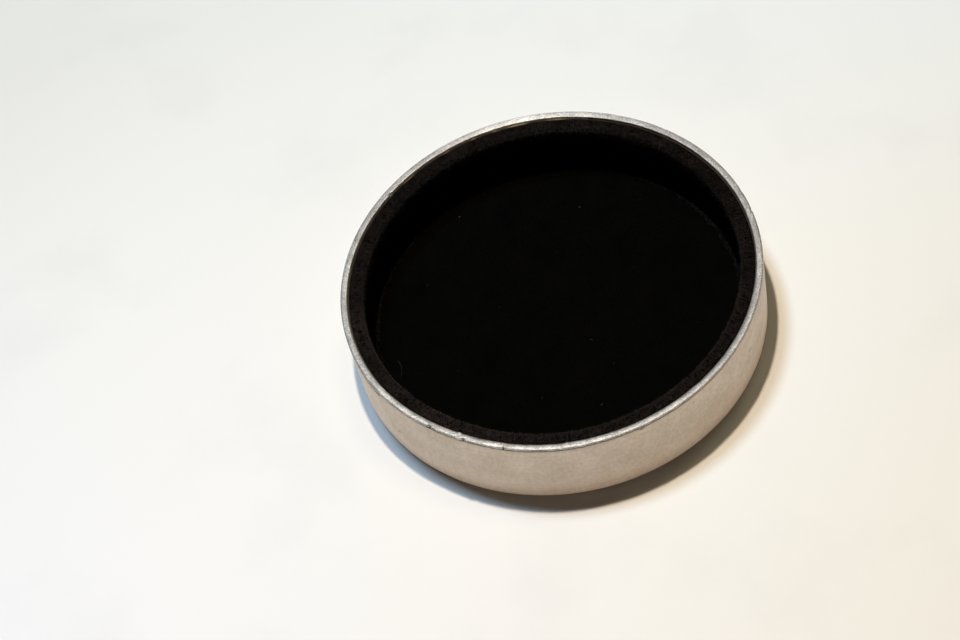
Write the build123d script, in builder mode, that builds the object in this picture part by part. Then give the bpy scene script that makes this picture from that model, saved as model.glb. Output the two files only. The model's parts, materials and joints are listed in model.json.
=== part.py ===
"""Round slip-on cap: a turned aluminium cup lined with glued-in pile fabric.

Millimetres, +Z up. The cap stands on Z = 0 on its closed end, with its mouth
facing up, and the Z axis is its axis.
"""

import os
from math import cos, radians, sin

from build123d import *

# Cap shell
OUTER_D = 46.0
HEIGHT = 8.8  # closed end's outer face to the lip
WALL_T = 0.75
END_T = 0.8  # closed end
BASE_EDGE_R = 0.2  # outer edge that the cap stands on
LIP_OUTER_CHAMFER = 0.16
LIP_INNER_CHAMFER = 0.08
INNER_CORNER_R = 0.3  # left by the nose of the boring tool

# Adhesive films
FILM_T = 0.1

# Wall lining: a strip of pile fabric bent into a ring, standing on the closed end
WALL_PILE_T = 1.65  # backing and pile
LINING_SETBACK = 0.3  # the strip's cut top edge lies this far below the lip
LINING_CORNER_CHAMFER = 0.36  # clears the shell's inner corner
JOINT_ANGLE = 152.0  # where the strip's ends butt, counter-clockwise from +X
JOINT_GAP = 0.16
JOINT_SLANT = 14.0  # the strip is cut this far off square

# Floor lining: a disc of the same fabric, cut oversize and pushed down inside the strip
FLOOR_PILE_T = 1.0
DISC_BITE = 0.3  # how far its cut edge presses into the strip's pile all round
DISC_GAP = 0.05  # left around it for clear solids

# Radii and levels that follow
outer_r = OUTER_D / 2
cup_bore_r = outer_r - WALL_T
strip_outer_r = cup_bore_r - FILM_T
mouth_r = strip_outer_r - WALL_PILE_T  # the bore that the mating barrel enters
disc_r = mouth_r + DISC_BITE
strip_top = HEIGHT - LINING_SETBACK
disc_base = END_T + FILM_T
disc_top = disc_base + FLOOR_PILE_T
film_base = END_T + LINING_CORNER_CHAMFER
film_top = strip_top - FILM_T  # the film stops short of the cut edge

os.makedirs("parts", exist_ok=True)


with BuildPart() as cap_shell:
    Cylinder(outer_r, HEIGHT, align=(Align.CENTER, Align.CENTER, Align.MIN))
    with BuildSketch(Plane.XY.offset(END_T)):
        Circle(cup_bore_r)
    extrude(amount=HEIGHT - END_T, mode=Mode.SUBTRACT)
    circles = cap_shell.edges().filter_by(GeomType.CIRCLE)
    base_edge = circles.group_by(Axis.Z)[0]
    bore_floor_edge = circles.group_by(Axis.Z)[1]
    lip_edges = circles.group_by(Axis.Z)[-1].sort_by(SortBy.RADIUS)
    fillet(base_edge, BASE_EDGE_R)
    fillet(bore_floor_edge, INNER_CORNER_R)
    chamfer(lip_edges[-1], LIP_OUTER_CHAMFER)
    chamfer(lip_edges[0], LIP_INNER_CHAMFER)
cap_shell.part.label = "cap_shell"


with BuildPart() as wall_adhesive:
    with BuildSketch(Plane.XY.offset(film_base)):
        Circle(cup_bore_r)
        Circle(strip_outer_r, mode=Mode.SUBTRACT)
    extrude(amount=film_top - film_base)
wall_adhesive.part.label = "wall_adhesive"


# The cut plane between the strip's two ends: its normal points outwards, and
# its Y axis leans off the vertical by the joint's slant.
outwards = Vector(cos(radians(JOINT_ANGLE)), sin(radians(JOINT_ANGLE)), 0)
along_strip = Vector(-outwards.Y, outwards.X, 0)
joint_middle = outwards * mouth_r + Vector(0, 0, (END_T + strip_top) / 2)
joint_plane = Plane(origin=joint_middle, x_dir=along_strip, z_dir=outwards)

with BuildPart() as wall_lining:
    with BuildSketch(Plane.XY.offset(END_T)):
        Circle(strip_outer_r)
        Circle(mouth_r, mode=Mode.SUBTRACT)
    extrude(amount=strip_top - END_T)
    strip_base_edges = wall_lining.edges().filter_by(GeomType.CIRCLE).group_by(Axis.Z)[0]
    chamfer(strip_base_edges.sort_by(SortBy.RADIUS)[-1], LINING_CORNER_CHAMFER)
    with BuildSketch(Plane.XY.offset(END_T)):
        Circle(disc_r + DISC_GAP)
    extrude(amount=disc_top - END_T, mode=Mode.SUBTRACT)  # the foot, pressed back by the disc
    with BuildSketch(joint_plane):
        Rectangle(JOINT_GAP, 2 * HEIGHT, rotation=JOINT_SLANT)
    extrude(amount=2 * WALL_PILE_T, both=True, mode=Mode.SUBTRACT)
wall_lining.part.label = "wall_lining"


with BuildPart() as floor_adhesive:
    with BuildSketch(Plane.XY.offset(END_T)):
        Circle(disc_r - FILM_T)
    extrude(amount=FILM_T)
floor_adhesive.part.label = "floor_adhesive"


with BuildPart() as floor_lining:
    with BuildSketch(Plane.XY.offset(disc_base)):
        Circle(disc_r)
    extrude(amount=FLOOR_PILE_T)
floor_lining.part.label = "floor_lining"


export_step(cap_shell.part, "parts/cap_shell.step")
export_step(wall_adhesive.part, "parts/wall_adhesive.step")
export_step(wall_lining.part, "parts/wall_lining.step")
export_step(floor_adhesive.part, "parts/floor_adhesive.step")
export_step(floor_lining.part, "parts/floor_lining.step")

print(f"mouth: radius {mouth_r:.2f} mm, {strip_top - disc_top:.2f} mm deep above the disc")
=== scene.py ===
"""Pile-lined metal slip-on cap: the looks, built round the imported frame.

Lengths are in metres, in the frame's own axes: +Z is up, the cap stands on Z = 0.
"""

import json
import math

import bmesh
import bpy
import numpy as np
from mathutils import Matrix, Vector, noise


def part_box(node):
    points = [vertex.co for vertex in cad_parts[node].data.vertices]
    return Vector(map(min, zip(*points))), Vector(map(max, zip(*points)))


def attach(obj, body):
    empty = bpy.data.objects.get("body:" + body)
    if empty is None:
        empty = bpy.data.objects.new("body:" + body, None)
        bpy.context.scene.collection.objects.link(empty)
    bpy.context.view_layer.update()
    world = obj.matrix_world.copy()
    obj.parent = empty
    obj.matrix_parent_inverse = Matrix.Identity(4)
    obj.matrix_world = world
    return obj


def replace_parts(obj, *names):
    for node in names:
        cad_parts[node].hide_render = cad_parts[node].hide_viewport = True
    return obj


MM = 0.001
RIM_SEGMENTS = 1200
STRIP_SEGMENTS = 600
DISC_SEGMENTS = 360

# Painted light: the table's colour changes evenly between these lines, from corner to corner, as the light
# on it would
TABLE_NEAR_Y, TABLE_FAR_Y = -0.045, 0.060
TABLE_LEFT_X, TABLE_RIGHT_X = -0.062, 0.050
TABLE_NEAR_LEFT_PAINTED_LIGHT = (0.440, 0.442, 0.458)
TABLE_NEAR_RIGHT_PAINTED_LIGHT = (0.391, 0.366, 0.320)
TABLE_FAR_LEFT_PAINTED_LIGHT = (0.332, 0.336, 0.328)
TABLE_FAR_RIGHT_PAINTED_LIGHT = (0.331, 0.350, 0.366)
LAMP_GAIN = 2.13  # the table is darker than white paper, so the lamps are stronger

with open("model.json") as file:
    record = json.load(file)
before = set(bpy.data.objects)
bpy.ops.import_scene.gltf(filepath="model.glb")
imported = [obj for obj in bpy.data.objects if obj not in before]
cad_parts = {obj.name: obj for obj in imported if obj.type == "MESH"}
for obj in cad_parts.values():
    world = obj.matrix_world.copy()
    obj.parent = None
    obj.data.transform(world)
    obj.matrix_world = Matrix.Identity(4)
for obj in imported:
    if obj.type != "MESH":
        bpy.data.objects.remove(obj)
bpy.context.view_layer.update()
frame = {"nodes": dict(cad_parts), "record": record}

# ---------------------------------------------------------------- sizes from the frame
shell_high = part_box("cap_shell")[1]
strip_low, strip_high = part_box("wall_lining")
disc_low, disc_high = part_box("floor_lining")
mounts = {m["name"]: m for m in frame["record"]["mounts"]}

OUTER_R = shell_high.x
HEIGHT = shell_high.z
STRIP_OUTER_R = strip_high.x
STRIP_BASE, STRIP_TOP = strip_low.z, strip_high.z
MOUTH_R = mounts["barrel_bore"]["dims"]["r_mm"] * MM
DISC_R = disc_high.x
DISC_BASE, DISC_TOP = disc_low.z, disc_high.z
END_T = STRIP_BASE  # the strip stands on the closed end
FILM_T = 0.1 * MM  # as in the CAD
CUP_BORE_R = STRIP_OUTER_R + FILM_T  # the adhesive lies outside the strip

# The frame's boxes don't tell these, which are the CAD's own
BASE_EDGE_R = 0.2 * MM
INNER_CORNER_R = 0.3 * MM
CORNER_CHAMFER = 0.36 * MM  # the strip's back edge clears the cup's inner corner
JOINT_ANGLE = math.radians(152)
JOINT_GAP = 0.16 * MM
JOINT_SLANT = math.radians(14)


# ---------------------------------------------------------------- mesh helpers
def add_mesh(name, points, faces):
    """A new object from an array of points and lists of faces."""
    mesh = bpy.data.meshes.new(name)
    mesh.from_pydata(np.asarray(points).tolist(), [], faces)
    mesh.validate()
    thing = bpy.data.objects.new(name, mesh)
    bpy.context.scene.collection.objects.link(thing)
    return thing


def smooth(thing, sharp_degrees=35):
    """Smooth shading, except along edges sharper than this."""
    thing.data.shade_smooth()
    thing.data.set_sharp_from_angle(angle=math.radians(sharp_degrees))
    return thing


def arc(centre_r, centre_z, radius, start, stop, steps):
    """Profile points (r, z) along an arc, with angles in degrees from +r towards +z."""
    angles = np.radians(np.linspace(start, stop, steps + 1))
    return [(centre_r + radius * math.cos(a), centre_z + radius * math.sin(a)) for a in angles]


def ring_point(r, turn, z):
    """Cylindrical places to xyz; each is an array or a number."""
    return np.stack([r * np.cos(turn), r * np.sin(turn), z + 0 * turn], axis=-1)


def outward_at(turn):
    """Unit vectors away from the Z axis."""
    return ring_point(1.0, turn, 0.0)


def turns(segments):
    """The angles of a ring's segments, in radians."""
    return np.arange(segments) * 2 * math.pi / segments


def revolve(profile, segments):
    """Points of a profile turned about Z, as an array [segment, profile point, xyz]."""
    r, z = np.array(profile).T
    return ring_point(r, turns(segments)[:, None], z)


def turned_faces(segments, count):
    """Quads between neighbouring segments of a revolved profile, facing outwards."""
    faces = []
    for i in range(segments):
        j = (i + 1) % segments
        for k in range(count - 1):
            faces.append((i * count + k, j * count + k, j * count + k + 1, i * count + k + 1))
    return faces


def weld(thing):
    """Joins the doubled points at the poles."""
    mesh = bmesh.new()
    mesh.from_mesh(thing.data)
    bmesh.ops.remove_doubles(mesh, verts=mesh.verts, dist=1e-8)
    mesh.to_mesh(thing.data)
    mesh.free()


# ---------------------------------------------------------------- material helpers
class Nodes:
    """A short way to build a node material."""

    def __init__(self, name):
        self.material = bpy.data.materials.new(name)
        self.material.use_nodes = True
        self.tree = self.material.node_tree
        self.shader = self.tree.nodes["Principled BSDF"]

    def add(self, kind, **settings):
        node = self.tree.nodes.new(kind)
        for key, value in settings.items():
            setattr(node, key, value)
        return node

    def link(self, source, target):
        self.tree.links.new(source, target)

    def math(self, operation, first, second=0.0):
        """One operation on two values, each a socket or a number."""
        node = self.add("ShaderNodeMath", operation=operation)
        for socket, value in zip(node.inputs, (first, second)):
            if isinstance(value, (int, float)):
                socket.default_value = value
            else:
                self.link(value, socket)
        return node.outputs[0]

    def position(self):
        """The place on the piece, in metres: every piece has the frame's own axes."""
        return self.add("ShaderNodeTexCoord").outputs["Object"]

    def noise(self, vector, scale, detail=3.0, roughness=0.55):
        node = self.add("ShaderNodeTexNoise")
        node.inputs["Scale"].default_value = scale
        node.inputs["Detail"].default_value = detail
        node.inputs["Roughness"].default_value = roughness
        self.link(vector, node.inputs["Vector"])
        return node.outputs["Fac"]

    def ramp(self, factor, stops):
        """A colour ramp from (place, colour) stops."""
        node = self.add("ShaderNodeValToRGB")
        points = node.color_ramp.elements
        while len(points) < len(stops):
            points.new(0.5)
        for point, (place, colour) in zip(points, stops):
            point.position = place
            point.color = (*colour, 1.0)
        self.link(factor, node.inputs["Fac"])
        return node.outputs["Color"]

    def spread(self, factor, low, high, out_low, out_high):
        """Maps factor from low..high to out_low..out_high."""
        node = self.add("ShaderNodeMapRange")
        limits = {"From Min": low, "From Max": high, "To Min": out_low, "To Max": out_high}
        for name, value in limits.items():
            node.inputs[name].default_value = value
        self.link(factor, node.inputs["Value"])
        return node.outputs["Result"]

    def bump(self, height, strength, distance):
        node = self.add("ShaderNodeBump")
        node.inputs["Strength"].default_value = strength
        node.inputs["Distance"].default_value = distance
        self.link(height, node.inputs["Height"])
        self.link(node.outputs["Normal"], self.shader.inputs["Normal"])

    def spot(self, angle, height, length, width):
        """0.7 at a place on the outer wall, falling to 0 a little way round and up or down from it."""
        place = Vector((OUTER_R * math.cos(angle), OUTER_R * math.sin(angle), height))
        node = self.add("ShaderNodeMapping", vector_type="TEXTURE")
        node.inputs["Location"].default_value = place
        node.inputs["Rotation"].default_value = (0, 0, angle)
        node.inputs["Scale"].default_value = (length, length, width)
        self.link(self.position(), node.inputs["Vector"])
        reach = self.add("ShaderNodeVectorMath", operation="LENGTH")
        self.link(node.outputs[0], reach.inputs[0])
        return self.spread(reach.outputs["Value"], 0.3, 1.0, 0.7, 0.0)

    def blend(self, factor, first, second):
        """first where factor is 0, second where it is 1; each is a colour or a socket."""
        node = self.add("ShaderNodeMix", data_type="RGBA")
        self.link(factor, node.inputs[0])
        for socket, value in zip(node.inputs[6:8], (first, second)):
            if isinstance(value, tuple):
                socket.default_value = (*value, 1.0)
            else:
                self.link(value, socket)
        return node.outputs[2]

    def turning_vector(self, around, across):
        """Coordinates that change slowly round the axis and fast along the turned surface."""
        xyz = self.add("ShaderNodeSeparateXYZ")
        self.link(self.position(), xyz.inputs[0])
        x, y, z = xyz.outputs
        squares = self.math("ADD", self.math("MULTIPLY", x, x), self.math("MULTIPLY", y, y))
        along = self.math("SUBTRACT", z, self.math("SQRT", squares))
        made = self.add("ShaderNodeCombineXYZ")
        self.link(self.math("MULTIPLY", x, around), made.inputs[0])
        self.link(self.math("MULTIPLY", y, around), made.inputs[1])
        self.link(self.math("MULTIPLY", along, across), made.inputs[2])
        return made.outputs[0]


# Small nicks on the outer wall, drawn only in the colour as dark brown spots of painted shade in place of
# dents: (angle in degrees, then height, length and width in millimetres)
NICKS = [
    (324.9, 4.90, 0.55, 0.17), (284.2, 8.30, 0.42, 0.18), (300.0, 7.40, 0.20, 0.10),
    (213.0, 3.40, 0.36, 0.18), (245.5, 5.60, 0.14, 0.08), (281.0, 2.20, 0.12, 0.07),
    (207.3, 8.16, 0.36, 0.26), (20.0, 5.00, 0.30, 0.10), (74.0, 3.10, 0.22, 0.10),
    (131.0, 6.20, 0.26, 0.12),
]
NICK_PAINTED_SHADE = (0.10, 0.085, 0.07)
PAINTED_LIGHT_FOOT = (0.3 * MM, 3.6 * MM)  # painted light: the wall is made palest up to the first height, and plain from the second


def satin_aluminium():
    """Turned aluminium with a warm satin finish, dulled a little by handling, with painted light at its
    foot: its colour turns paler towards the bottom.
    """
    nodes = Nodes("satin_aluminium")
    xyz = nodes.add("ShaderNodeSeparateXYZ")
    nodes.link(nodes.position(), xyz.inputs[0])
    streaks = nodes.noise(nodes.turning_vector(60, 9000), 1.0, detail=4)
    blotches = nodes.noise(nodes.position(), 300, detail=4)
    grain = nodes.noise(nodes.position(), 2400, detail=3)
    fine = nodes.math("ADD", nodes.math("MULTIPLY", streaks, 0.25), nodes.math("MULTIPLY", grain, 0.40))
    mixed = nodes.math("ADD", fine, nodes.math("MULTIPLY", blotches, 0.35))
    upper = nodes.ramp(mixed, [
        (0.38, (0.528, 0.453, 0.368)),
        (0.5, (0.60, 0.525, 0.440)),
        (0.62, (0.679, 0.608, 0.530)),
    ])
    # painted light: a paler colour for the wall's foot, in place of the light that the shaded table in
    # front doesn't give it
    foot_painted_lighter = nodes.ramp(mixed, [(0.38, (0.766, 0.650, 0.530)), (0.62, (0.924, 0.815, 0.695))])
    colour = nodes.blend(nodes.spread(xyz.outputs["Z"], *PAINTED_LIGHT_FOOT, 1.0, 0.0), upper, foot_painted_lighter)
    # painted shade: each nick darkens the colour, with no dent in the surface
    for angle, height, length, width in NICKS:
        nick_shade_mask = nodes.spot(math.radians(angle), height * MM, length * MM, width * MM)
        colour = nodes.blend(nick_shade_mask, colour, NICK_PAINTED_SHADE)
    nodes.link(colour, nodes.shader.inputs["Base Color"])
    nodes.link(nodes.spread(mixed, 0.3, 0.7, 0.56, 0.48), nodes.shader.inputs["Roughness"])
    nodes.shader.inputs["Metallic"].default_value = 0.2
    nodes.bump(streaks, 0.12, 0.01 * MM)
    return nodes.material


def bare_lip():
    """The lip, rubbed bare: satin, with a mottle of fine dents."""
    nodes = Nodes("bare_lip")
    dents = nodes.noise(nodes.position(), 5600, detail=5, roughness=0.7)
    patches = nodes.noise(nodes.position(), 480, detail=3)
    mixed = nodes.math("ADD", nodes.math("MULTIPLY", dents, 0.75), nodes.math("MULTIPLY", patches, 0.25))
    colour = nodes.ramp(mixed, [
        (0.40, (0.265, 0.264, 0.258)),
        (0.5, (0.43, 0.428, 0.42)),
        (0.60, (0.64, 0.637, 0.625)),
    ])
    nodes.link(colour, nodes.shader.inputs["Base Color"])
    nodes.link(nodes.spread(patches, 0.35, 0.65, 0.51, 0.46), nodes.shader.inputs["Roughness"])
    nodes.shader.inputs["Metallic"].default_value = 1.0
    nodes.bump(dents, 0.8, 0.036 * MM)
    return nodes.material


def grime_and_painted_shade():
    """Dark colour that comes and goes in patches: painted shade in the groove under the lip, along the
    sliver's groove and in deep knocks, and dirt on the bore above the strip.
    """
    nodes = Nodes("grime_and_painted_shade")
    patches = nodes.noise(nodes.position(), 900, detail=3)
    colour = nodes.ramp(patches, [(0.42, (0.012, 0.009, 0.007)), (0.66, (0.085, 0.070, 0.056))])
    nodes.link(colour, nodes.shader.inputs["Base Color"])
    nodes.shader.inputs["Roughness"].default_value = 0.7
    return nodes.material


def black_pile():
    """The cloth that shows between the modelled fibres."""
    nodes = Nodes("black_pile")
    tufts = nodes.noise(nodes.position(), 5200, detail=4, roughness=0.7)
    drift = nodes.noise(nodes.position(), 330, detail=3)
    mixed = nodes.math("ADD", nodes.math("MULTIPLY", tufts, 0.5), nodes.math("MULTIPLY", drift, 0.5))
    colour = nodes.ramp(mixed, [(0.3, (0.0004, 0.0004, 0.0004)), (0.7, (0.0012, 0.0011, 0.0010))])
    nodes.link(colour, nodes.shader.inputs["Base Color"])
    nodes.shader.inputs["Roughness"].default_value = 0.95
    nodes.shader.inputs["Specular IOR Level"].default_value = 0.02
    nodes.bump(tufts, 0.8, 0.08 * MM)
    return nodes.material


def dried_adhesive():
    """Dark with dirt, and golden in patches on the far side, where it was squeezed out."""
    nodes = Nodes("dried_adhesive")
    xyz = nodes.add("ShaderNodeSeparateXYZ")
    nodes.link(nodes.position(), xyz.inputs[0])
    away = nodes.math("SUBTRACT", xyz.outputs["Y"], nodes.math("MULTIPLY", xyz.outputs["X"], 0.18))
    far_side = nodes.spread(away, 19.5 * MM, 21.5 * MM, 0.0, 1.0)
    patches = nodes.spread(nodes.noise(nodes.position(), 320, detail=3), 0.49, 0.62, 0.0, 1.0)
    golden = nodes.math("MULTIPLY", far_side, patches)
    colour = nodes.ramp(golden, [(0.0, (0.014, 0.011, 0.007)), (1.0, (0.24, 0.17, 0.085))])
    nodes.link(colour, nodes.shader.inputs["Base Color"])
    nodes.shader.inputs["Roughness"].default_value = 0.35
    nodes.bump(patches, 0.3, 0.03 * MM)
    return nodes.material


def pale_table_with_painted_light():
    """A plain pale table top with faint smudges, with painted light: its colour changes a little from
    corner to corner as the light on it would.
    """
    nodes = Nodes("pale_table_with_painted_light")
    xyz = nodes.add("ShaderNodeSeparateXYZ")
    nodes.link(nodes.position(), xyz.inputs[0])
    # painted light: the colour blends between the four corner colours
    far = nodes.spread(xyz.outputs["Y"], TABLE_NEAR_Y, TABLE_FAR_Y, 0.0, 1.0)
    right = nodes.spread(xyz.outputs["X"], TABLE_LEFT_X, TABLE_RIGHT_X, 0.0, 1.0)
    near_side = nodes.blend(right, TABLE_NEAR_LEFT_PAINTED_LIGHT, TABLE_NEAR_RIGHT_PAINTED_LIGHT)
    far_side = nodes.blend(right, TABLE_FAR_LEFT_PAINTED_LIGHT, TABLE_FAR_RIGHT_PAINTED_LIGHT)
    clouds = nodes.noise(nodes.position(), 45, detail=5)
    smudges = nodes.ramp(clouds, [(0.30, (0.955, 0.955, 0.96)), (0.48, (1.0, 1.0, 1.0))])
    mottled = nodes.add("ShaderNodeVectorMath", operation="MULTIPLY")
    nodes.link(nodes.blend(far, near_side, far_side), mottled.inputs[0])
    nodes.link(smudges, mottled.inputs[1])
    nodes.link(mottled.outputs[0], nodes.shader.inputs["Base Color"])
    nodes.shader.inputs["Roughness"].default_value = 0.7
    nodes.shader.inputs["Specular IOR Level"].default_value = 0.1
    return nodes.material


# ---------------------------------------------------------------- the metal cup
LIP_EDGE_R = 0.145 * MM  # the lip's rounded outer edge
BORE_EDGE_R = 0.1 * MM  # and its inner one
LIP_HIGHEST_R = OUTER_R - 0.32 * MM  # between them the lip is slightly domed, and highest here
LIP_MIDDLE_R = OUTER_R - 0.38 * MM  # knocks stay on their own side of this


def shell_profile():
    """Groups of (r, z) points, from the middle of the underside round to the inner floor.

    The two walls have levels between their ends because knocked_in bends them.
    """
    outer, top, bore = OUTER_R, HEIGHT, CUP_BORE_R
    across = np.linspace(0.19, -0.355, 13)  # millimetres outwards from the lip's highest line
    return {
        "underside": [(r * MM, 0.0) for r in (0.0, 4, 8, 12, 16, 19, 21, 22.2)],
        "base_edge": arc(outer - BASE_EDGE_R, BASE_EDGE_R, BASE_EDGE_R, -90, 0, 7),
        "wall": [(outer, z * MM) for z in (0.6, 1.4, 2.6, 4, 5.3, 6.6, 7.6)],
        "sliver": [(outer, top - below * MM) for below in (0.70, 0.58, 0.47)],
        "undercut": [
            (outer - 0.01 * MM, top - 0.43 * MM),
            (outer - 0.05 * MM, top - 0.38 * MM),
            (outer - 0.06 * MM, top - 0.30 * MM),
        ],
        "lip_edge": arc(outer - LIP_EDGE_R, top - 0.1535 * MM, LIP_EDGE_R, -35, 80, 9),
        "crown": [(LIP_HIGHEST_R + x * MM, top - (0.25 * x**2 + 0.45 * x**4) * MM) for x in across],
        "inner_edge": arc(bore + BORE_EDGE_R, top - 0.1365 * MM, BORE_EDGE_R, 112, 180, 5),
        "bore_wall": [(bore, z * MM) for z in (8.4, 8.0, 6, 4, 2)],
        "corner": arc(bore - INNER_CORNER_R, END_T + INNER_CORNER_R, INNER_CORNER_R, 0, -90, 5),
        "inner_floor": [(r * MM, END_T) for r in (19, 13, 7, 0)],
    }


def near(turn, degrees, half_width):
    """1 at an angle, falling smoothly to 0 half_width degrees away."""
    off = np.abs((np.degrees(turn) - degrees + 180) % 360 - 180)
    return 0.5 + 0.5 * np.cos(math.pi * np.clip(off / half_width, 0, 1))


# Knocks on the lip's edges: (edge, angle and half width in degrees, then how far the edge is bent
# into the metal and downwards, in millimetres)
KNOCKS = [
    ("outer", 12.5, 1.2, 0.06, 0.02), ("outer", 5.0, 0.8, 0.09, 0.04),
    ("outer", 226.6, 0.8, 0.17, 0.10), ("outer", 228.0, 0.4, 0.06, 0.03),
    ("outer", 235.2, 0.8, -0.12, -0.05), ("inner", 235.2, 0.8, -0.06, -0.05),
    ("outer", 236.8, 0.6, 0.14, 0.10), ("inner", 134.1, 0.8, 0.15, 0.09),
    ("inner", 132.6, 0.5, -0.06, 0.0), ("outer", 248.0, 0.5, 0.11, 0.08),
    ("outer", 261.5, 0.4, 0.05, 0.03), ("inner", 264.7, 0.4, -0.06, -0.03),
    ("outer", 290.5, 0.4, 0.04, 0.02), ("outer", 317.5, 0.5, 0.04, 0.02),
    ("outer", 276.5, 0.3, -0.03, 0.0), ("outer", 345.0, 0.8, 0.03, 0.01),
    ("outer", 213.5, 0.5, 0.04, 0.02), ("inner", 241.0, 0.4, 0.05, 0.03),
    ("inner", 304.0, 0.5, 0.04, 0.02), ("outer", 254.5, 0.3, 0.05, 0.03),
]
PAINTED_SHADE_KNOCK = 0.10 * MM  # knocks on the outer edge at least this deep get the dark material, as painted shade in them
# Where the lip leans: (angle and half width in degrees, slope inwards)
LEANS = [(88, 55, 0.16), (35, 40, 0.01), (322, 42, 0.09)]
BATTERED_ANGLE, BATTERED_HALF_WIDTH, BATTERED_SLOPE = 250, 70, 0.09  # the lip's slope is uneven here
FLAT_ANGLE, FLAT_HALF_WIDTH, FLAT_SHARE = 85, 115, 0.8  # where the lip is less domed, and how much less
WORN_ANGLE, WORN_HALF_WIDTH = 255, 90  # handling has left the lip most uneven here
DENT_ANGLE, DENT_HALF_WIDTH, DENT_DEPTH = 233, 32, 0.23 * MM  # degrees, degrees, metres
SLIVER_START, SLIVER_END = 196.0, 208.0  # a turned sliver runs off the lip here, in degrees
CLOTH_TO_LIP = (-10, 68)  # degrees between which dirt and fluff hide the bore above the strip
SATIN, BARE, GRIME_AND_SHADE = 0, 1, 2  # the cup's materials, in their order


def knocked_in(points):
    """Points moved inwards where a knock has bent the wall, most of all at the lip."""
    turn = np.arctan2(points[..., 1], points[..., 0])
    height = np.clip(points[..., 2] / HEIGHT, 0, 1)
    amount = DENT_DEPTH * near(turn, DENT_ANGLE, DENT_HALF_WIDTH) * height**2
    return points - amount[..., None] * outward_at(turn)


def unevenness(turn, per_metre, seed):
    """Smooth random values, about -1 to 1, round the rim."""
    places = [Vector((OUTER_R * math.cos(a), OUTER_R * math.sin(a), seed * MM)) for a in turn]
    return np.array([noise.noise(p * per_metre) for p in places])


def knock_lip(lip, r, turn):
    """Knocks in the lip's edges. lip is [segment, profile point, xyz], and r its profile points' radii."""
    towards_edge = {
        "outer": np.clip((r - LIP_MIDDLE_R - 0.1 * MM) / (0.2 * MM), 0, 1),
        "inner": np.clip((LIP_MIDDLE_R - 0.12 * MM - r) / (0.2 * MM), 0, 1),
    }
    outward = outward_at(turn)[:, None, :]
    into_metal = {"outer": -outward, "inner": outward}
    for edge, angle, half_width, inwards, down in KNOCKS:
        dent = near(turn, angle, half_width)[:, None] * towards_edge[edge]
        lip += dent[..., None] * inwards * MM * into_metal[edge]
        lip[..., 2] -= dent * down * MM


def lean_lip(lip, r, z, turn):
    """Makes the lip less domed on the far side, and gives it its slopes."""
    fall = HEIGHT - z
    fall = fall * np.clip(1.3 - fall / (0.11 * MM), 0, 1)  # less and less down the two rounded edges
    flatter = FLAT_SHARE * np.clip(1.6 * near(turn, FLAT_ANGLE, FLAT_HALF_WIDTH), 0, 1)
    lip[..., 2] += flatter[:, None] * fall
    for angle, half_width, slope in LEANS:
        lip[..., 2] += slope * near(turn, angle, half_width)[:, None] * (r - OUTER_R + 0.15 * MM)
    chatter = unevenness(turn, 1100, 21) + unevenness(turn, 2800, 23)
    battered = BATTERED_SLOPE * chatter * near(turn, BATTERED_ANGLE, BATTERED_HALF_WIDTH)
    lip[..., 2] += battered[:, None] * (r - LIP_MIDDLE_R)


def wear_lip(rings, starts, turn):
    """Fine unevenness along the undercut and the lip's two edges."""
    outward = outward_at(turn)[:, None, :]
    worn = 0.6 + 0.4 * near(turn, WORN_ANGLE, WORN_HALF_WIDTH)
    wavy = unevenness(turn, 900, 3) + 0.8 * unevenness(turn, 2400, 5)
    under = slice(starts["undercut"], starts["lip_edge"] + 4)
    rings[:, under, 2] += (wavy * worn * 0.05 * MM)[:, None]
    outer_edge = slice(starts["undercut"], starts["crown"] + 3)
    outer_bulge = (unevenness(turn, 1500, 8) - 0.2) * worn * 0.016 * MM
    rings[:, outer_edge] += outer_bulge[:, None, None] * outward
    inner_edge = slice(starts["bore_wall"] - 7, starts["bore_wall"])
    inner_bulge = (unevenness(turn, 1300, 13) + 0.2) * 0.02 * MM
    rings[:, inner_edge] += inner_bulge[:, None, None] * outward


def along_sliver(turn):
    """0 where the sliver leaves the lip and 1 at its end; below 0 or above 1 elsewhere."""
    return (np.degrees(turn) - SLIVER_START) / (SLIVER_END - SLIVER_START)


def turn_sliver(line, turn):
    """Lets the sliver's three profile points run down the wall, the middle one in a thin groove."""
    share = along_sliver(turn)
    beside = (share > 0) & (share < 1)
    line[beside, :, 2] -= (0.11 * MM * (share[beside] - 0.36))[:, None]
    ragged = np.clip(share * 3, 0, 1) * (0.75 + 0.25 * np.cos(40 * turn))
    depth = 0.09 * MM * np.where(beside, ragged, 0)
    line[:, 1] -= depth[:, None] * outward_at(turn)


def face_materials(starts, count, turn):
    """The material of each face of the cup, in the order of turned_faces."""
    columns, rows = np.divmod(np.arange(len(turn) * (count - 1)), count - 1)
    sliver, undercut = starts["sliver"], starts["undercut"]
    lip, bore = starts["lip_edge"], starts["bore_wall"]
    materials = np.where((rows >= lip) & (rows <= bore), BARE, SATIN)
    # painted shade: the groove under the lip gets the dark material
    materials[(rows > undercut) & (rows <= lip)] = GRIME_AND_SHADE
    share = along_sliver(turn)[columns]
    # painted shade along the sliver's thin groove
    materials[(rows >= sliver) & (rows <= sliver + 1) & (share > 0) & (share < 1)] = GRIME_AND_SHADE
    first, last = CLOTH_TO_LIP
    hidden = (np.degrees(turn) - first) % 360 < last - first
    materials[(rows >= bore - 2) & (rows <= bore) & hidden[columns]] = GRIME_AND_SHADE
    # painted shade: deep knocks in the outer edge get the dark material
    for edge, angle, half_width, inwards, _ in KNOCKS:
        if edge == "outer" and inwards * MM >= PAINTED_SHADE_KNOCK:
            inside = near(turn, angle, half_width)[columns] > 0.5
            materials[inside & (rows >= lip) & (rows < lip + 6)] = GRIME_AND_SHADE
    return materials.astype(np.int32)


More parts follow.
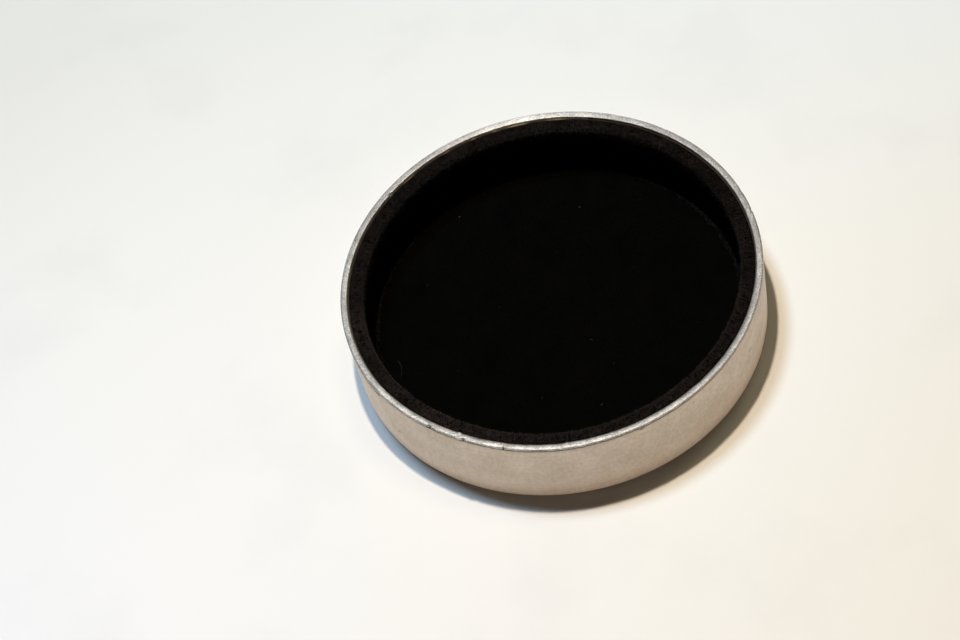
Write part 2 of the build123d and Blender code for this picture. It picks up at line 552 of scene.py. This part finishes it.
def make_shell():
    """The cup: a turned profile with a knocked, leaning, worn lip and a bent wall."""
    groups = shell_profile()
    profile = sum(groups.values(), [])
    starts = dict(zip(groups, np.cumsum([0] + [len(g) for g in groups.values()])))
    rings = revolve(profile, RIM_SEGMENTS)
    turn = turns(RIM_SEGMENTS)
    on_lip = slice(starts["lip_edge"], starts["bore_wall"])
    r, z = np.array(profile)[on_lip].T
    knock_lip(rings[:, on_lip], r, turn)
    lean_lip(rings[:, on_lip], r, z, turn)
    wear_lip(rings, starts, turn)
    turn_sliver(rings[:, starts["sliver"]:starts["undercut"]], turn)
    in_wall = slice(starts["wall"], starts["corner"])
    rings[:, in_wall] = knocked_in(rings[:, in_wall])

    shell = add_mesh("metal_cup", rings.reshape(-1, 3), turned_faces(RIM_SEGMENTS, len(profile)))
    for made in (satin_aluminium(), bare_lip(), grime_and_painted_shade()):
        shell.data.materials.append(made)
    materials = face_materials(starts, len(profile), turn)
    shell.data.polygons.foreach_set("material_index", materials)
    weld(shell)
    return smooth(shell)


# ---------------------------------------------------------------- the linings
# The cloth bodies end where the pile's roots are, and the fibres reach on from there
STRIP_CLOTH_R = MOUTH_R + 0.22 * MM
STRIP_CLOTH_TOP = STRIP_TOP - 0.12 * MM
DISC_CLOTH_TOP = DISC_TOP - 0.2 * MM


def strip_profile():
    """(r, z) points round the strip's cross-section: its back, cut edge, pile side and foot."""
    back, top, edge_r = STRIP_OUTER_R, STRIP_CLOTH_TOP, 0.3 * MM
    return [
        (back, STRIP_BASE + CORNER_CHAMFER),
        (back, 4 * MM),
        (back, top - 0.15 * MM),
        (back - 0.12 * MM, top),
        (back - 0.5 * MM, top + 0.04 * MM),
        (back - 0.9 * MM, top + 0.03 * MM),
        *arc(STRIP_CLOTH_R + edge_r, top - edge_r, edge_r, 90, 180, 5),
        *((STRIP_CLOTH_R, z * MM) for z in (7, 6, 5, 4, 3, 2.2)),
        (DISC_R + 0.04 * MM, DISC_TOP - 0.05 * MM),
        (DISC_R + 0.04 * MM, STRIP_BASE),
        (back - CORNER_CHAMFER, STRIP_BASE),
    ]


def make_strip(pile):
    """The wall lining's cloth: a closed strip, bent round, with a slanted butt joint."""
    profile = strip_profile()
    count = len(profile)
    r, z = np.array(profile).T
    half_gap = JOINT_GAP / 2 / MOUTH_R
    first, last = JOINT_ANGLE + half_gap, JOINT_ANGLE + 2 * math.pi - half_gap
    share = np.linspace(0, 1, STRIP_SEGMENTS + 1)
    slant = math.tan(JOINT_SLANT) * (z - (STRIP_BASE + STRIP_TOP) / 2) / MOUTH_R
    turn = first + np.outer(share, np.full(count, last - first)) - slant
    flat = ring_point(r, turn, z).reshape(-1, 3)
    for p, (pr, pz) in zip(flat, np.tile(profile, (STRIP_SEGMENTS + 1, 1))):
        if pz > 2.1 * MM and pr < STRIP_OUTER_R - 0.1 * MM:  # not the back or the foot
            bulge = noise.noise(Vector(p) * 1400) + 0.5 * noise.noise(Vector(p) * 4200)
            p *= (1 + bulge * 0.05 * MM / MOUTH_R, 1 + bulge * 0.05 * MM / MOUTH_R, 1)
            p[2] += noise.noise(Vector(p) * 1900) * 0.05 * MM
    faces = []
    for i in range(STRIP_SEGMENTS):
        for k in range(count):
            m = (k + 1) % count
            faces.append((i * count + k, i * count + m, (i + 1) * count + m, (i + 1) * count + k))
    faces.append(list(range(count))[::-1])
    faces.append([STRIP_SEGMENTS * count + k for k in range(count)])
    strip = add_mesh("wall_lining_cloth", knocked_in(flat), faces)
    strip.data.materials.append(pile)
    return smooth(strip, 60)


def make_disc(pile):
    """The floor lining's cloth: a closed disc with a slightly uneven top."""
    profile = [(0.0, DISC_BASE), (DISC_R, DISC_BASE), (DISC_R, DISC_CLOTH_TOP - 0.15 * MM)]
    profile += [(r, DISC_CLOTH_TOP) for r in np.linspace(0, DISC_R - 0.1 * MM, 60)[::-1]]
    flat = revolve(profile, DISC_SEGMENTS).reshape(-1, 3)
    for p in flat:
        if p[2] > DISC_CLOTH_TOP - 0.01 * MM:
            p[2] += noise.noise(Vector(p) * 500) * 0.04 * MM + noise.noise(Vector(p) * 2200) * 0.03 * MM
    disc = add_mesh("floor_lining_cloth", flat, turned_faces(DISC_SEGMENTS, len(profile)))
    disc.data.materials.append(pile)
    weld(disc)
    return smooth(disc, 60)


# ---------------------------------------------------------------- the pile
GOLDEN = math.pi * (3 - math.sqrt(5))  # the turn that spreads roots evenly, in radians
FLOOR_ROOT_Z = DISC_CLOTH_TOP - 0.04 * MM
WALL_ROOT_R = MOUTH_R + 0.25 * MM
# Fibre colours, from the deep black of the pile to the browner black of its cut side
NAP_BLACK = [(0.0001, 0.0001, 0.0001), (0.0003, 0.0003, 0.0003), (0.0006, 0.0006, 0.0005)]
CUT_BROWN = [
    (0.0050, 0.0042, 0.0038), (0.0085, 0.0068, 0.0060),
    (0.0125, 0.0098, 0.0086), (0.0175, 0.0134, 0.0118),
]
EDGE_GREY = [(0.0080, 0.0076, 0.0072), (0.0140, 0.0132, 0.0124), (0.0220, 0.0206, 0.0192)]
LINT_GREY = [(0.012, 0.012, 0.011), (0.045, 0.045, 0.042)]
CUT_EDGE_PAINTED_SHADE_ANGLE = math.radians(115)  # painted light and shade: the strip's cut edge gets its darkest shades here, on the far side, and its palest opposite, on the near side


def fibre_shade(name, colour):
    """One plain colour of fibre: the variety comes from giving fibres different ones."""
    nodes = Nodes(name)
    nodes.shader.inputs["Base Color"].default_value = (*colour, 1.0)
    nodes.shader.inputs["Roughness"].default_value = 0.9
    nodes.shader.inputs["Specular IOR Level"].default_value = 0.01
    return nodes.material


def make_fibres(name, paths, widths, colours, lightness):
    """Closed tapering fibres; paths is [fibre, station, xyz], and the last station is the tip.

    lightness, from 0 to 1 for each fibre, picks its colour.
    """
    count, stations = paths.shape[:2]
    rings = stations - 1
    along = np.gradient(paths, axis=1)
    side = np.cross(along, (0.31, 0.52, 0.80))  # a direction in which hardly any fibre points
    other = np.cross(along, side)
    side /= np.linalg.norm(side, axis=2, keepdims=True)
    other /= np.linalg.norm(other, axis=2, keepdims=True)
    half = (widths[:, None] / 2 * np.linspace(1.0, 0.7, rings))[..., None]
    corners = []
    for angle in np.radians((0, 120, 240)):
        offset = math.cos(angle) * side + math.sin(angle) * other
        corners.append(paths[:, :rings] + offset[:, :rings] * half)
    body = np.stack(corners, axis=2).reshape(count, rings * 3, 3)
    points = np.concatenate([body, paths[:, -1:]], axis=1)
    tip = rings * 3
    pattern = [(0, 2, 1)]
    sides = ((0, 1), (1, 2), (2, 0))
    for start in range(0, tip - 3, 3):
        pattern += [(start + c, start + d, start + 3 + d, start + 3 + c) for c, d in sides]
    pattern += [(tip - 3 + c, tip - 3 + d, tip) for c, d in sides]
    firsts = range(0, count * (tip + 1), tip + 1)
    faces = [tuple(first + k for k in face) for first in firsts for face in pattern]
    thing = add_mesh(name, points.reshape(-1, 3), faces)
    for k, colour in enumerate(colours):
        thing.data.materials.append(fibre_shade(f"{name}_{k + 1}", colour))
    shades = np.repeat(np.clip(lightness * len(colours), 0, len(colours) - 1), len(pattern))
    thing.data.polygons.foreach_set("material_index", shades.astype(np.int32))
    return thing


def floor_nap():
    """Short upright pile on the disc, leaning in drifts as brushed cloth does."""
    rng = np.random.default_rng(21)
    count = 46000
    order = np.arange(count) + 0.5
    r = (DISC_R - 0.35 * MM) * np.sqrt(order / count)
    turn = order * GOLDEN + rng.normal(0, 0.002, count)
    roots = ring_point(r, turn, FLOOR_ROOT_Z)
    drift = np.array([noise.noise(Vector(p) * 260) for p in roots])
    heading = 2.2 + 2.5 * drift + rng.normal(0, 0.9, count)
    lean = (0.09 * MM + 0.03 * MM * rng.standard_normal(count))[:, None]
    rise = rng.uniform(0.17, 0.27, count) * MM
    tips = roots + lean * outward_at(heading)
    tips[:, 2] += rise
    widths = rng.uniform(0.055, 0.095, count) * MM
    paths = np.stack([roots, tips], axis=1)
    return make_fibres("floor_nap", paths, widths, NAP_BLACK, rng.random(count))


def wall_nap():
    """The same pile on the strip, pointing at the axis, with painted light: its fibres get lighter shades
    towards the cut edge.
    """
    rng = np.random.default_rng(22)
    count = 42000
    order = np.arange(count) + 0.5
    turn = JOINT_ANGLE + order * GOLDEN
    low, high = DISC_TOP + 0.1 * MM, STRIP_TOP - 0.25 * MM
    z = low + (high - low) * order / count
    roots = ring_point(WALL_ROOT_R, turn, z)
    reach = rng.uniform(0.15, 0.27, count) * MM
    drift = np.array([noise.noise(Vector(p) * 300) for p in roots])
    sweep = (0.10 * drift + rng.normal(0, 0.04, count)) * MM
    droop = (-0.05 + rng.normal(0, 0.05, count)) * MM
    tips = ring_point(WALL_ROOT_R - reach, turn + sweep / MOUTH_R, z + droop)
    widths = rng.uniform(0.055, 0.095, count) * MM
    # painted light: fibres higher up the wall get lighter shades, where the top of the inner wall is
    # brighter
    lightness = 0.75 * rng.random(count) + 0.6 * np.clip((z - 6.2 * MM) / (2 * MM), 0, 1)
    paths = knocked_in(np.stack([roots, tips], axis=1))
    return make_fibres("wall_nap", paths, widths, NAP_BLACK + [EDGE_GREY[1]], lightness)


def cut_edge_fuzz(side):
    """The far or the near half of the strip's cut top edge: short ends of pile, and a ragged fringe."""
    rng = np.random.default_rng(23)
    count = 30000
    turn = np.sort(rng.uniform(0, 2 * math.pi, count))
    off_joint = np.abs((turn - JOINT_ANGLE + math.pi) % (2 * math.pi) - math.pi)
    turn = turn + np.where(off_joint < 0.006, 0.012, 0)  # none are rooted in the joint
    around = [Vector((math.cos(a), math.sin(a), 0.3)) for a in turn]
    ragged = np.array([noise.noise(p * 28) for p in around])
    clumps = np.array([noise.noise(p * 9) + 0.6 * noise.noise(p * 60) for p in around])
    inner_r = MOUTH_R + (0.32 + 0.14 * ragged) * MM
    across = rng.uniform(0, 1, count) ** 0.9  # 0 at the fringe, 1 at the backing
    root_r = inner_r + across * (STRIP_OUTER_R - 0.04 * MM - inner_r)
    sag = 0.34 * MM * np.clip(1 - (root_r - MOUTH_R) / (0.75 * MM), 0, 1) ** 2
    z = STRIP_TOP - sag - rng.uniform(0.04, 0.20, count) * MM
    length = rng.uniform(0.22, 0.50, count) * MM
    heading = rng.normal(0, 0.55, count)  # off the way to the axis
    inwards, sideways = length * np.cos(heading), length * np.sin(heading)
    fringe = across < 0.10
    droop = np.where(fringe, rng.uniform(0.05, 0.45, count), rng.normal(0.02, 0.05, count)) * MM
    tip_z = np.minimum(z - droop, STRIP_TOP - 0.01 * MM)
    middle_z = np.minimum(z - 0.2 * droop, STRIP_TOP)
    roots = ring_point(root_r, turn, z)
    middles = ring_point(root_r - 0.55 * inwards, turn + 0.5 * sideways / MOUTH_R, middle_z)
    tips = ring_point(root_r - inwards, turn + sideways / MOUTH_R, tip_z)
    widths = rng.uniform(0.035, 0.060, count) * MM
    # painted light and shade by the angle round the edge; the clumps and the rest vary at random
    lightness = 0.50 - 0.24 * np.cos(turn - CUT_EDGE_PAINTED_SHADE_ANGLE) + 0.30 * clumps + rng.uniform(-0.22, 0.22, count)
    paths = knocked_in(np.stack([roots, middles, tips], axis=1))
    chosen = (np.sin(turn) >= 0) == (side == "far")
    return make_fibres(f"{side}_cut_edge_fuzz", paths[chosen], widths[chosen], CUT_BROWN, lightness[chosen])


def near_cut_edge_fuzz():
    """The half towards the camera."""
    return cut_edge_fuzz("near")


def far_cut_edge_fuzz():
    """The half away from the camera."""
    return cut_edge_fuzz("far")


def disc_edge_fuzz():
    """Pile of the disc's cut edge, turned up where it is pressed into the strip."""
    rng = np.random.default_rng(24)
    count = 9000
    turn = np.sort(rng.uniform(0, 2 * math.pi, count))
    root_r = MOUTH_R - rng.uniform(0.0, 0.42, count) * MM
    roots = ring_point(root_r, turn, DISC_CLOTH_TOP)
    skew = rng.normal(0, 0.12, count) * MM / MOUTH_R
    lift = rng.uniform(0.10, 0.34, count) * MM
    inwards = rng.normal(0.03, 0.07, count) * MM
    middles = ring_point(root_r - 0.4 * inwards, turn + 0.5 * skew, DISC_CLOTH_TOP + 0.6 * lift)
    tips = ring_point(root_r - inwards, turn + skew, DISC_TOP - 0.15 * MM + lift)
    widths = rng.uniform(0.035, 0.06, count) * MM
    paths = np.stack([roots, middles, tips], axis=1)
    return make_fibres("disc_edge_fuzz", paths, widths, EDGE_GREY, rng.random(count))


# Loose fibres caught in the pile: (x, y and length in millimetres, heading in degrees, turns of curl,
# lightness)
LOOSE_FIBRES = [
    (-18.5, -2.05, 2.4, -60, -0.15, 0.2), (5.0, 13.5, 0.26, 20, 0.1, 0.6), (1.4, 7.7, 0.25, 80, 0.2, 0.4),
    (3.0, -5.3, 0.30, 140, 0.1, 0.6), (2.25, -13.95, 0.34, 10, 0.2, 0.6), (4.6, -9.1, 0.25, 60, 0.1, 0.4),
    (-11.9, -5.5, 0.35, 100, 0.2, 0.4), (-8.75, 16.1, 0.28, 30, 0.1, 0.6), (9.5, 3.1, 0.40, 70, 0.3, 0.2),
    (12.2, 12.6, 0.6, 160, 0.2, 0.2), (-3.8, -11.5, 0.4, 50, 0.1, 0.2), (14.8, -6.4, 0.6, 110, 0.2, 0.2),
    (-13.9, 7.2, 0.5, 15, 0.2, 0.2), (-6.1, 1.9, 0.3, 130, 0.1, 0.2),
]


def loose_fibres():
    """A curled hair and specks of lint, lying on the disc's pile."""
    stations = np.linspace(0, 1, 16)
    paths, lightness = [], []
    for x, y, length, degrees, curl, light in LOOSE_FIBRES:
        heading = math.radians(degrees) + 2 * math.pi * curl * stations
        step = length * MM / (len(stations) - 1)
        z = DISC_TOP + (0.05 + 0.04 * length * np.sin(math.pi * stations)) * MM
        across = x * MM + np.cumsum(np.cos(heading)) * step
        along = y * MM + np.cumsum(np.sin(heading)) * step
        paths.append(np.stack([across, along, z], axis=1))
        lightness.append(light)
    widths = np.full(len(paths), 0.045 * MM)
    fibres = make_fibres("loose_fibres", np.array(paths), widths, LINT_GREY, np.array(lightness))
    return smooth(fibres, 80)


# ---------------------------------------------------------------- scene
def make_floor():
    """The table top, far larger than the view."""
    reach = 3.0
    corners = [(-reach, -reach, 0), (reach, -reach, 0), (reach, reach, 0), (-reach, reach, 0)]
    floor = add_mesh("table_top", corners, [(0, 1, 2, 3)])
    floor.data.materials.append(pale_table_with_painted_light())


def add_lamp(name, place, diameter, watts, colour, mirrored):
    """A lamp aimed at the cap. Metal mirrors only a share of it, as if it were partly screened."""
    for part, share in (("seen", mirrored), ("screened", 1 - mirrored)):
        data = bpy.data.lights.new(f"{name}_{part}", "AREA")
        data.shape = "DISK"
        data.size = diameter
        data.energy = watts * share
        data.color = colour
        lamp = bpy.data.objects.new(data.name, data)
        lamp.location = place
        lamp.rotation_mode = "QUATERNION"
        lamp.rotation_quaternion = (-Vector(place)).to_track_quat("-Z", "Y")
        lamp.visible_glossy = part == "seen"
        bpy.context.scene.collection.objects.link(lamp)


def make_room():
    """A dim warm room. Low round the horizon it is brighter, most of all behind the camera."""
    world = bpy.data.worlds.new("room")
    world.use_nodes = True
    tree = world.node_tree
    direction = tree.nodes.new("ShaderNodeTexCoord")
    split = tree.nodes.new("ShaderNodeSeparateXYZ")
    tree.links.new(direction.outputs["Generated"], split.inputs[0])

    def blend_along(axis, stops):
        ramp = tree.nodes.new("ShaderNodeValToRGB")
        for element, (place, colour) in zip(ramp.color_ramp.elements, stops):
            element.position, element.color = place, (*colour, 1)
        tree.links.new(split.outputs[axis], ramp.inputs["Fac"])
        return ramp.outputs["Color"]

    up = blend_along("Z", [(0.07, (3.05, 2.48, 1.98)), (0.17, (0.022, 0.014, 0.008))])
    away = blend_along("Y", [(0.0, (1.0, 1.0, 1.0)), (0.6, (0.35, 0.37, 0.40))])
    both = tree.nodes.new("ShaderNodeVectorMath")
    both.operation = "MULTIPLY"
    tree.links.new(up, both.inputs[0])
    tree.links.new(away, both.inputs[1])
    tree.links.new(both.outputs[0], tree.nodes["Background"].inputs["Color"])
    bpy.context.scene.world = world


# Lamps above the far side: (name, place and diameter in metres, watts, colour, share that metal mirrors)
LAMPS = [
    ("main_lamp", (-0.0025, 0.0443, 0.281), 0.0125, 0.613, (1.0, 0.839, 0.659), 0.35),
    ("cool_window", (-0.098, 0.163, 0.589), 0.109, 2.136, (0.559, 0.771, 1.0), 0.20),
    ("warm_fill", (0.105, 0.113, 0.454), 0.110, 0.238, (1.0, 0.911, 0.575), 0.10),
]


def make_lights():
    """Every lamp, made stronger by one and the same factor."""
    for name, place, diameter, watts, colour, mirrored in LAMPS:
        add_lamp(name, place, diameter, watts * LAMP_GAIN, colour, mirrored)


def make_camera():
    """Looks down at the lip from the near side, turned so that the cap sits right of the middle."""
    elevation, roll, lens = math.radians(51.37), math.radians(12.89), 75.0
    distance = 9.396 * OUTER_R
    lip_centre = Vector((0, 0, HEIGHT))
    back = Vector((0, -math.cos(elevation), math.sin(elevation)))
    data = bpy.data.cameras.new("camera")
    data.lens = lens
    data.sensor_width = 36.0
    data.clip_start = 0.01
    data.clip_end = 20.0
    camera = bpy.data.objects.new("camera", data)
    bpy.context.scene.collection.objects.link(camera)
    facing = (-back).to_track_quat("-Z", "Y").to_matrix()
    rolled = facing @ Matrix.Rotation(-roll, 3, "Z")
    # the lip's centre, from the middle of the view, in tangents of the angles right and up
    towards = Vector((0.03425, 0.02464, -1.0)).normalized()
    turned = rolled @ Vector((0, 0, -1)).rotation_difference(towards).to_matrix().inverted()
    camera.matrix_world = Matrix.Translation(lip_centre + back * distance) @ turned.to_4x4()
    bpy.context.scene.camera = camera


make_camera()
make_room()
make_lights()
make_floor()
bpy.context.scene.view_settings.view_transform = "Standard"

pile = black_pile()
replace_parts(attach(make_shell(), "root"), "cap_shell")
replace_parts(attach(make_strip(pile), "root"), "wall_lining")
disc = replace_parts(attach(make_disc(pile), "root"), "floor_lining")
for make in (floor_nap, wall_nap, near_cut_edge_fuzz, far_cut_edge_fuzz, disc_edge_fuzz, loose_fibres):
    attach(make(), "root")
glue = dried_adhesive()
for node in ("wall_adhesive", "floor_adhesive"):
    film = frame["nodes"][node]
    film.data.materials.clear()
    film.data.materials.append(glue)
